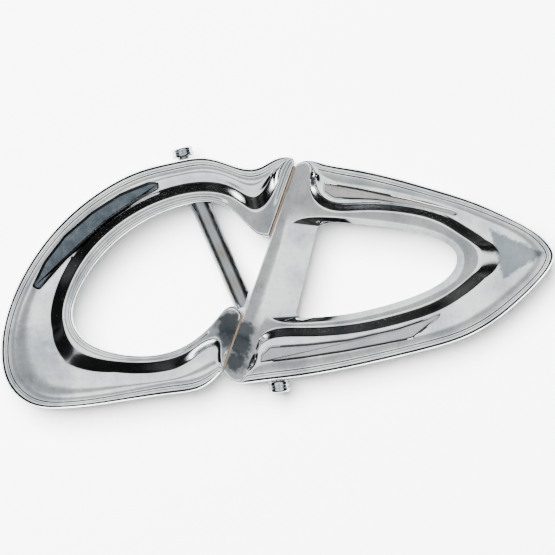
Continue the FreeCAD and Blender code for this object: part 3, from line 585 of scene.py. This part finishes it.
eye_hole_top_line = smooth_curve([
    (1.5, 8.9), (2.3, 10.4), (4.4, 11.6), (7.2, 12.0), (15.4, 11.6), (24.0, 10.6), (30.5, 9.2),
    (34.8, 7.1), (36.8, 4.6), (36.6, 1.8), (34.6, -0.8), (30.8, -3.1), (25.9, -5.2), (19.6, -7.0),
    (13.3, -8.3), (6.0, -8.95), (0.6, -8.75), (-1.5, -7.9), (-2.4, -6.0), (-2.2, -3.9),
])
eye_hole_line = smooth_curve([
    (7.6, 8.6), (8.0, 10.0), (9.4, 10.75), (15.4, 10.7), (23.7, 9.8), (30.0, 8.3), (33.8, 6.6),
    (35.6, 4.4), (35.4, 2.2), (33.6, -0.2), (30.4, -2.3), (25.7, -4.25), (19.5, -6.1),
    (13.3, -7.35), (6.0, -8.05), (4.4, -7.85), (3.75, -7.1), (4.0, -5.9),
])
EYE_COUNTS = [16, 24, 26, 26, 26, 40, 40, 34, 34, 30, 36, 30, 40, 40, 24, 24, 30]
eye_outer = matched(eye_outer_line, [
    EYE_TOP, (6.4, 23.3), (9.6, 22.7), (12.0, 22.3), (14.6, 21.8), (24.5, 19.6), (34.0, 16.9),
    (42.0, 14.0), (50.0, 10.1), (55.1, 4.9), (50.5, -2.6), (42.6, -9.2), (28.0, -14.9), (11.5, -18.4),
    (0.5, -20.3), (-4.0, -20.85), (-7.6, -21.1), EYE_FOOT], EYE_COUNTS)
eye_crest = matched(eye_crest_line, [
    EYE_TOP, (6.3, 22.6), (6.4, 18.6), (7.9, 14.8), (12.0, 13.2), (22.0, 13.2), (31.0, 11.4),
    (36.0, 8.7), (38.8, 6.6), (40.3, 3.9), (38.6, 0.7), (35.0, -2.4), (26.0, -6.6), (11.5, -9.6),
    (0.8, -10.0), (-3.3, -11.8), (-6.7, -19.7), EYE_FOOT], EYE_COUNTS)
eye_seam_line = along(straight(eye_crest[-1], eye_crest[0]), np.linspace(0, 43.4, 121))
eye_ring_out = joined(eye_crest, eye_seam_line)
RING_TIES = [
    EYE_TOP, (6.4, 20.0), (6.9, 16.3), (10.5, 13.4), (15.0, 13.2), (24.5, 12.9), (32.0, 11.0),
    (37.0, 8.0), (40.3, 3.9), (38.0, 0.0), (32.0, -4.3), (24.5, -7.1), (15.0, -9.2), (5.0, -9.9),
    (0.8, -10.0), (-1.2, -10.4), (-3.3, -11.8), (-4.5, -14.5), (-6.7, -19.7), EYE_FOOT,
    on_seam(12.5, 0), on_seam(30.0, 0), EYE_TOP]
eye_ring_in = partners(eye_ring_out, RING_TIES, loop_from(eye_hole_top_line, (3.0, 11.1)), [
    (3.0, 11.1), (4.4, 11.6), (6.2, 11.95), (9.4, 11.95), (15.0, 11.6), (24.0, 10.6), (30.5, 9.2),
    (34.3, 7.4), (36.95, 3.7), (34.9, -0.5), (30.4, -3.3), (24.0, -5.8), (15.0, -8.0), (5.6, -8.95),
    (1.4, -8.9), (-0.6, -8.4), (-1.7, -7.6), (-2.15, -6.9), (-2.3, -6.4), (-2.4, -5.7),
    (-2.2, -4.2), (1.3, 8.0), (3.0, 11.1)])
eye_ring_hole = partners(eye_ring_out, RING_TIES, loop_from(eye_hole_line, (8.4, 10.4)), [
    (8.4, 10.4), (9.0, 10.7), (9.7, 10.75), (11.2, 10.8), (15.4, 10.7), (23.7, 9.8), (29.6, 8.4),
    (33.2, 6.9), (35.8, 3.4), (34.1, 0.4), (30.0, -2.5), (24.0, -4.8), (15.0, -7.05), (7.2, -7.95),
    (5.4, -8.0), (4.7, -7.9), (4.2, -7.7), (4.0, -7.4), (3.85, -7.1), (3.8, -6.8),
    (4.0, -5.9), (7.5, 8.2), (8.4, 10.4)])

EYE_WEB_HALF = 3.5       # mm, mid-plane to the web at the slope's foot
EYE_WEB_DIP = 0.1        # mm, how far the web is hollowed
EYE_SLOPES = [1.5, 1.8, 2.0, 2.0, 1.9, 1.9, 2.0, 2.3, 3.0, 5.4, 3.0, 2.4, 2.1, 2.0, 2.0, 1.9, 1.8, 1.5]
# Places of the samples across the eye's bevelled edge, closest at its upper corner.
BEVEL_STEPS = [0.0, 0.06, 0.14, 0.25, 0.4, 0.55, 0.7, 0.82, 0.92, 1.0]
BEVEL_DROP = 0.03        # mm, the bevel's upper edge below the ridge
BEVEL_SLOPE = 0.27       # mm down for each mm in
BEVEL_MOST = 1.5         # mm
eye_rows = band_rows(eye_outer, eye_crest, eye_crest, EYE_WEB_HALF, EYE_WEB_DIP,
                     np.interp(np.arange(len(eye_outer)), np.cumsum([0] + EYE_COUNTS), EYE_SLOPES))
eye_rows = eye_rows[:, :len(RIM) + WEB_COLUMNS + SLOPE_COLUMNS]
eye_rows[:, -1, :2] = eye_crest
eye_rows = with_lip(eye_rows)
ring_rows = []
for out, top, hole in zip(eye_ring_out, eye_ring_in, eye_ring_hole):
    row = [(*out, RIDGE_HALF - CREST_DROP)]
    width = np.linalg.norm(top - out)
    flat = (CREST_ROUND / width, 0.3 / width, 0.5, 1 - 0.25 / width)
    row += [(*(out + (top - out) * t), RIDGE_HALF) for t in flat]
    fall = min(BEVEL_MOST, BEVEL_DROP + BEVEL_SLOPE * np.linalg.norm(hole - top))
    row += [(*(top + (hole - top) * t), RIDGE_HALF - BEVEL_DROP - fall * t) for t in BEVEL_STEPS]
    row += [(*hole, 0.0)]
    ring_rows.append(row)
ring_rows = np.array(ring_rows)
seam_wall = np.array([[(*p, RIDGE_HALF - CREST_DROP), (*p, 0.0)] for p in eye_seam_line])

LOCK_FOOT = BOLT_FOOT + SEAM_OUT * 8.18
LOCK_PULL = turned(-83.28)
BUSH_SEAT = 2.6          # mm, radii of the bores
BOLT_END_ROOM = 2.15
PLUNGER_BORE = 0.85
SPRING_ROOM = 1.5
SLEEVE_SEAT = 1.8
eye_cutters = [
    lathe("bush_seat", BOLT_FOOT, SEAM_OUT, [
        (-1.0, BUSH_SEAT), (7.2, BUSH_SEAT), (7.21, BOLT_END_ROOM), (11.8, BOLT_END_ROOM)]),
    lathe("lock_bore", LOCK_FOOT, LOCK_PULL, [
        (1.0, PLUNGER_BORE), (3.2, PLUNGER_BORE), (3.21, SPRING_ROOM), (4.9, SPRING_ROOM),
        (4.91, SLEEVE_SEAT), (9, SLEEVE_SEAT)]),
]
# The same polished chrome plate, a touch duller, with dark painted reflections down the lower boss, a little
# rougher, and a blue-grey painted reflection over a ragged triangle on the nose.
plated_eye = metal("polished chrome on the eye casting", "#E2E5E6", "#B0B7BB", 7.0, 0.09,
                   bump=0.04,
                   painted_reflections=[(-6.6, -10.6, 2.0, 0.85, 1.3, "#343C42"), (-7.3, -13.6, 2.2, 0.9, 1.3, "#343C42"),
                           (-8.3, -16.8, 2.0, 0.9, 1.3, "#343C42")],
                   reflection_zones=[([(42.3, 9.7), (53.2, 4.8), (45.0, -0.4)], 0.8, "#55626B")])
for name, side in (("eye_front_shell", 1), ("eye_back_shell", -1)):
    end_rows = [np.vstack([eye_rows[i], (*eye_crest[i], 0.0)]) for i in (0, -1)]
    shell = casting(name + "_looks", side, [(eye_rows, False), (ring_rows[:-1], True), (seam_wall, False)],
                    [(eye_rows[:, 0, :2], eye_crest, False), (eye_ring_out[:-1], eye_ring_hole[:-1], True)],
                    end_rows)
    cut_away(shell, eye_cutters)
    shell.data.materials.clear()
    shell.data.materials.append(plated_eye)
    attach(shell, "eye")
    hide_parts(name)
drop(eye_cutters)

# ---------------------------------------------------------------- raised panels
# Plates that stand on the webs of both faces, one on the hook half and two on the eye half. They're
# cast in one with the webs: the border is plated like them, and the sunk top has its own finish.
PANEL_FOOT = 2.2         # mm, mid-plane to the panel's foot, inside the web
PANEL_TOP = 3.9          # mm, mid-plane to the top of its border
PANEL_STEP = 0.2         # mm between the samples of its outline
# The border's rise and fall: mm in from the panel's edge or the border's, and mm below its top.
PANEL_RISE = [(0.0, 0.42), (0.06, 0.24)]
PANEL_FALL = [(0.0, 0.02), (0.05, 0.0), (0.16, 0.12), (0.32, 0.12)]
CORNER_PASSES = 5        # that round the outline's corners
NEAR_SAMPLES = 9         # samples along the outline that don't count as its far side
INSET_SHARE = 0.38       # of the panel's width, the furthest that the border's rings move in
INSET_PASSES = 6         # that even out the insets


def raised_panel(name, outline, side, border, border_material, top_material):
    """A plate standing on the web, with a rounded light border round a slightly sunk flat top."""
    corners = np.array(list(outline) + [outline[0]])
    loop = along(corners, np.arange(0, lengths(corners)[-1] - PANEL_STEP / 2, PANEL_STEP))
    if np.sum(loop[:, 0] * np.roll(loop[:, 1], -1) - np.roll(loop[:, 0], -1) * loop[:, 1]) < 0:
        loop = loop[::-1]
    for _ in range(CORNER_PASSES):
        loop = 0.5 * loop + 0.25 * (np.roll(loop, 1, axis=0) + np.roll(loop, -1, axis=0))
    ahead = np.roll(loop, -2, axis=0) - np.roll(loop, 2, axis=0)
    inward = np.stack([-ahead[:, 1], ahead[:, 0]], axis=1) / np.linalg.norm(ahead, axis=1)[:, None]
    count = len(loop)
    apart = np.abs(np.arange(count)[:, None] - np.arange(count))
    apart = np.minimum(apart, count - apart)
    across = np.where(apart < NEAR_SAMPLES, np.inf, np.linalg.norm(loop[:, None] - loop, axis=2))
    limit = INSET_SHARE * across.min(axis=1)
    for _ in range(INSET_PASSES):
        limit = np.minimum(limit, (np.roll(limit, 1) + np.roll(limit, -1)) / 2)
    steps = [(0.0, PANEL_FOOT)] + [(far, PANEL_TOP - drop) for far, drop in PANEL_RISE]
    steps += [(border + far, PANEL_TOP - drop) for far, drop in PANEL_FALL]
    first_top_band = len(PANEL_RISE) + 2
    deepest = steps[-1][0]
    mesh = bmesh.new()
    rings = []
    for far, z in steps:
        shift = (far * np.minimum(1.0, limit / deepest))[:, None]
        height = (MID_PLANE + side * z) * MM
        rings.append([mesh.verts.new((x * MM, y * MM, height)) for x, y in loop + inward * shift])
    for k, (a, b) in enumerate(zip(rings[:-1], rings[1:])):
        for i in range(count):
            j = (i + 1) % count
            mesh.faces.new((a[i], a[j], b[j], b[i])).material_index = int(k >= first_top_band)
    mesh.faces.new(rings[0])
    mesh.faces.new(rings[-1]).material_index = 1
    panel = finished(mesh, name)
    for polygon in panel.data.polygons:
        polygon.use_smooth = polygon.material_index == 0
    panel.data.materials.append(border_material)
    panel.data.materials.append(top_material)
    return panel


HOOK_PANEL = [
    (-49.0, -1.9), (-46.6, 3.2), (-42.6, 8.4), (-37.0, 13.2), (-31.4, 16.8), (-25.6, 19.1),
    (-23.6, 19.0), (-23.6, 17.6), (-27.8, 15.2), (-33.3, 11.5), (-37.4, 7.8), (-41.9, 3.6), (-47.4, -2.6),
]
EYE_UPPER_PANEL = [
    (9.2, 19.1), (16.0, 17.9), (26.0, 15.8), (35.6, 13.4), (36.0, 12.6), (35.2, 12.2), (27.8, 13.9),
    (19.5, 15.2),
    (11.0, 15.6), (9.0, 17.0),
]
EYE_LOWER_PANEL = [
    (-3.5, -17.2), (-3.4, -15.3), (-1.6, -13.6), (6.0, -13.1), (14.0, -12.2), (24.0, -9.9), (32.6, -7.0),
    (32.2, -8.1), (27.2, -12.1), (25.4, -12.6), (14.0, -14.8), (5.0, -16.2),
]
# A dark inlay, brushed: its lines are too fine to draw, so a coarse grain breaks up its shine.
brushed_dark = metal("dark brushed inlay", "#5B646B", "#3E474E", 3.0, 0.24, bump=0.25)
# A matte satin finish: an even, warm pale grey with no sharp reflection.
matte_warm = metal("matte satin plate", "#B7B5B1", "#A9A7A4", 6.0, 0.5, bump=0.1)
# A stippled finish: its dots are too fine to draw, so a strong grain scatters the light to a pale grey.
stippled = metal("stippled plate", "#B4B7B8", "#9EA2A4", 5.0, 0.42, bump=0.5)
for name, outline, body, top, border in (
        ("hook_panel", HOOK_PANEL, "hook", brushed_dark, 0.9),
        ("eye_upper_panel", EYE_UPPER_PANEL, "eye", matte_warm, 0.4),
        ("eye_lower_panel", EYE_LOWER_PANEL, "eye", stippled, 0.4)):
    for face, side in (("front", 1), ("back", -1)):
        panel = raised_panel(name + "_" + face, outline, side, border,
                             plated_hook if body == "hook" else plated_eye, top)
        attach(panel, body)

# ---------------------------------------------------------------- knobs
# Two small metal knobs, turned with rounded rims and a shallow groove, then plated. One sits on the
# gate's tail as its thumb piece, and the other on the end of the lock's plunger.
KNOB_ROUND = 0.5         # mm, radius of the rims
ROUND_STEPS = 7          # samples of a rim's round
KNOB_GROOVE = ((-0.3, 0.0), (-0.2, 0.1), (0.2, 0.1), (0.3, 0.0))   # mm from the middle, and mm deep
# Turned and plated metal: a softer shine than the castings, since fine turning marks are left on it.
plated_knob = metal("turned and plated knob", "#B6BCC0", "#90979C", 3.0, 0.14)


def rounded_knob(name, foot_point, direction, foot, tall, radius):
    """A turned knob with rounded rims and a shallow groove round its middle."""
    turns = np.linspace(0, math.pi / 2, ROUND_STEPS)
    side = radius - KNOB_ROUND
    start, end = foot + KNOB_ROUND, foot + tall - KNOB_ROUND
    low = [(start - KNOB_ROUND * math.cos(t), side + KNOB_ROUND * math.sin(t)) for t in turns]
    high = [(end + KNOB_ROUND * math.sin(t), side + KNOB_ROUND * math.cos(t)) for t in turns]
    groove = [(foot + tall / 2 + far, radius - deep) for far, deep in KNOB_GROOVE]
    return lathe(name, foot_point, direction, low + groove + high)


# Each knob: its line's foot and direction, then mm along it to the knob's foot, mm tall, radius, and body.
for name, foot_point, direction, foot, tall, radius, body in (
        ("gate_knob", GATE_PIVOT, turned(TAIL_ANGLE), 4.9, 1.9, 2.15, "gate"),
        ("lock_knob", LOCK_FOOT, LOCK_PULL, 6.1, 2.4, 2.2, "lock")):
    knob = rounded_knob(name + "_looks", foot_point, direction, foot, tall, radius)
    knob.data.materials.append(plated_knob)
    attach(knob, body)
    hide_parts(name)

# ---------------------------------------------------------------- gate bar, pins, springs and bronze
# The round steel gate bar, and what lies inside the castings: steel dowels, pins and bolt, two wire
# springs, and bronze washers, shims, sleeve and bush. They keep the shapes they have in the CAD.

# Drawn and plated bar, slightly worn: darker than the castings, with a soft shine.
bar_steel = metal("plated gate bar", "#8B9195", "#7A756E", 6.0, 0.3, bump=0.05)
# Stainless steel, ground: pale, with an even satin shine.
pin_steel = metal("ground stainless pin", "#C3C3C0", "#B0B0AD", 4.0, 0.25)
# Bright drawn wire: a little darker than the pins, with the same shine.
wire_steel = metal("bright spring wire", "#A9ACAE", "#95989A", 2.0, 0.28)
# Dulled bronze: a soft tan with little shine, seen as the thin line along the seam.
bronze = metal("dulled bronze", "#A08A70", "#8A7763", 3.0, 0.38)
KEPT = {
    "gate_bar": bar_steel, "gate_pivot_pin": pin_steel, "gate_washers": bronze, "gate_spring": wire_steel,
    "hook_dowels": pin_steel, "eye_dowels": pin_steel, "swivel_bolt": pin_steel, "bolt_washer": bronze,
    "bolt_key": pin_steel, "swivel_bush": bronze, "lock_pin": pin_steel, "lock_sleeve": bronze,
    "lock_spring": wire_steel, "seam_shim_lower": bronze, "seam_shim_upper": bronze,
}
for name, material in KEPT.items():
    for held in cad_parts[name].material_slots:
        held.material = material

# ---------------------------------------------------------------- floor, light and camera
# The shackle lies flat on white paper under a dim grey ceiling, inside a bright white ring, with the
# dark room below the ring. A softbox, unseen in the metal, lights it. The camera looks straight down.


def grey(value):
    """A neutral linear colour."""
    return (value, value, value, 1.0)


FLOOR_HALF = 2.0         # m
FLOOR_GAP = 0.05         # mm under the shackle
floor_mesh = bpy.data.meshes.new("floor")
floor_mesh.from_pydata([(-FLOOR_HALF, -FLOOR_HALF, 0), (FLOOR_HALF, -FLOOR_HALF, 0),
                        (FLOOR_HALF, FLOOR_HALF, 0), (-FLOOR_HALF, FLOOR_HALF, 0)], [], [(0, 1, 2, 3)])
floor = bpy.data.objects.new("floor", floor_mesh)
floor.location.z = -FLOOR_GAP * MM
bpy.context.scene.collection.objects.link(floor)
# Uncoated paper: white, with no shine.
paper = bpy.data.materials.new("white studio paper")
paper.use_nodes = True
paper.node_tree.nodes["Principled BSDF"].inputs["Base Color"].default_value = grey(0.9)
paper.node_tree.nodes["Principled BSDF"].inputs["Roughness"].default_value = 0.9
floor_mesh.materials.append(paper)

# Brightness of the room by height, from 0 at the horizon to 1 straight above.
SKY = [
    (0.0, 1.2), (0.02, 1.0),         # paper near the horizon
    (0.04, 0.012), (0.70, 0.012),    # dark room
    (0.77, 1.9), (0.986, 2.3),       # white ring
    (0.9965, 0.82), (1.0, 0.72),     # grey ceiling
]
ROOM_TONES = [(0.5, 0.008), (0.75, 0.14)]   # the dark room's, over its slow clouds
world = bpy.data.worlds.new("studio")
bpy.context.scene.world = world
world.use_nodes = True
tree = world.node_tree
tree.nodes.clear()
direction = node(tree, "ShaderNodeTexCoord").outputs["Generated"]
height = node(tree, "ShaderNodeSeparateXYZ", in_0=direction).outputs["Z"]
clouds = node(tree, "ShaderNodeTexNoise", Vector=direction, Scale=1.7, Detail=1.0).outputs["Fac"]
dark = node(tree, "ShaderNodeValToRGB", {"stops": [(at, grey(tone)) for at, tone in ROOM_TONES]},
            in_0=clouds).outputs["Color"]
sky = node(tree, "ShaderNodeValToRGB", {"stops": [(at, grey(tone)) for at, tone in SKY]},
           in_0=height).outputs["Color"]
sky = node(tree, "ShaderNodeMix", {"data_type": "RGBA", "blend_type": "LIGHTEN"}, in_0=1.0, in_6=sky,
           in_7=dark).outputs[2]
background = node(tree, "ShaderNodeBackground", Color=sky, Strength=1.0)
node(tree, "ShaderNodeOutputWorld", Surface=background.outputs[0])

SOFTBOX_SIZE = 0.9       # m
SOFTBOX_POWER = 170.0    # W
lamp_data = bpy.data.lights.new("softbox", "AREA")
lamp_data.size = SOFTBOX_SIZE
lamp_data.energy = SOFTBOX_POWER
lamp = bpy.data.objects.new("softbox", lamp_data)
lamp.location = (-0.35, 0.45, 1.1)
lamp.rotation_euler = (math.radians(-22), math.radians(-18), 0)
lamp.visible_glossy = False
bpy.context.scene.collection.objects.link(lamp)

PICTURE_WIDTH = 111.0    # mm across the view at the shackle
CAMERA_HEIGHT = 900.0    # mm
SENSOR = 36.0            # mm
camera_data = bpy.data.cameras.new("camera")
camera = bpy.data.objects.new("camera", camera_data)
bpy.context.scene.collection.objects.link(camera)
camera.location = (0.0, 0.0, CAMERA_HEIGHT * MM)
camera_data.sensor_width = SENSOR
camera_data.lens = SENSOR * (CAMERA_HEIGHT - MID_PLANE) / PICTURE_WIDTH
camera_data.dof.use_dof = False
bpy.context.scene.camera = camera
